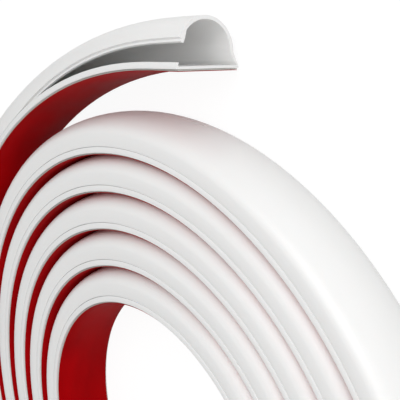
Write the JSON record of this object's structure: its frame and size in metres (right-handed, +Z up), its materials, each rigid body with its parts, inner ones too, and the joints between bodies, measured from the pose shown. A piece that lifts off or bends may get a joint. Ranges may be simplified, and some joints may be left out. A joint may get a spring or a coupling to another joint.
{
  "type": "adhesive cord cover",
  "caption": "Coil of self-adhesive cord cover: a D-shaped channel with a snap-shut dome, foam tape and a peel-off liner, its free end sprung open.",
  "frame": {"origin": "on the surface the coil lies on, under the middle of its bounding box", "axes": "+Z up along the coil's axis, from the hinge side of the cover to its opening side; +X along the free end's straight length, towards the end"},
  "size_m": [0.3342, 0.3576, 0.0311],
  "materials": {
    "white_vinyl": "smooth extruded vinyl, soft gloss",
    "foam_tape": "matt closed-cell foam",
    "red_liner": "satin film"
  },
  "bodies": {
    "root": {"cover": "white_vinyl", "adhesive_tape": "foam_tape", "release_liner": "red_liner"}
  },
  "joints": []
}
